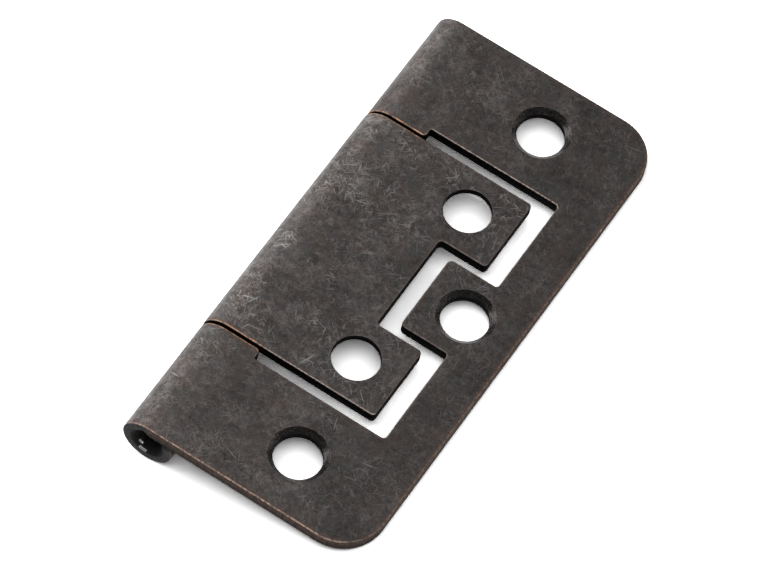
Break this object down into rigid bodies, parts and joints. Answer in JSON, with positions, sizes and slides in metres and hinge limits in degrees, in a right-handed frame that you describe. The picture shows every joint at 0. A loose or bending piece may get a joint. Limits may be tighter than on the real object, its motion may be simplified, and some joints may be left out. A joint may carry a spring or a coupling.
{
  "type": "flush hinge",
  "caption": "Flat flush hinge, shut: an inner leaf nests in the window of an outer leaf and swings about a pin in a rolled barrel, for hanging a door without a recess.",
  "frame": {"origin": "on the seat plane of the outer leaf, midway between its two end screw holes", "axes": "+X from the pin towards the free edge, +Y along the pin, +Z out of the seat towards the seen face"},
  "size_m": [0.0238, 0.051, 0.005],
  "materials": {
    "leaf_finish": "steel sheet with a satin antique copper finish",
    "pin_steel": "dark drawn steel wire"
  },
  "bodies": {
    "fixed_leaf": {"outer_leaf": "leaf_finish", "hinge_pin": "pin_steel"},
    "swinging_leaf": {"inner_leaf": "leaf_finish"}
  },
  "joints": [
    {"name": "leaf_swing", "type": "hinge", "parent": "fixed_leaf", "child": "swinging_leaf", "pos_m": [-0.0117, 0, -0.00126], "axis": [0, -1, 0], "range_deg": [0, 180]}
  ]
}
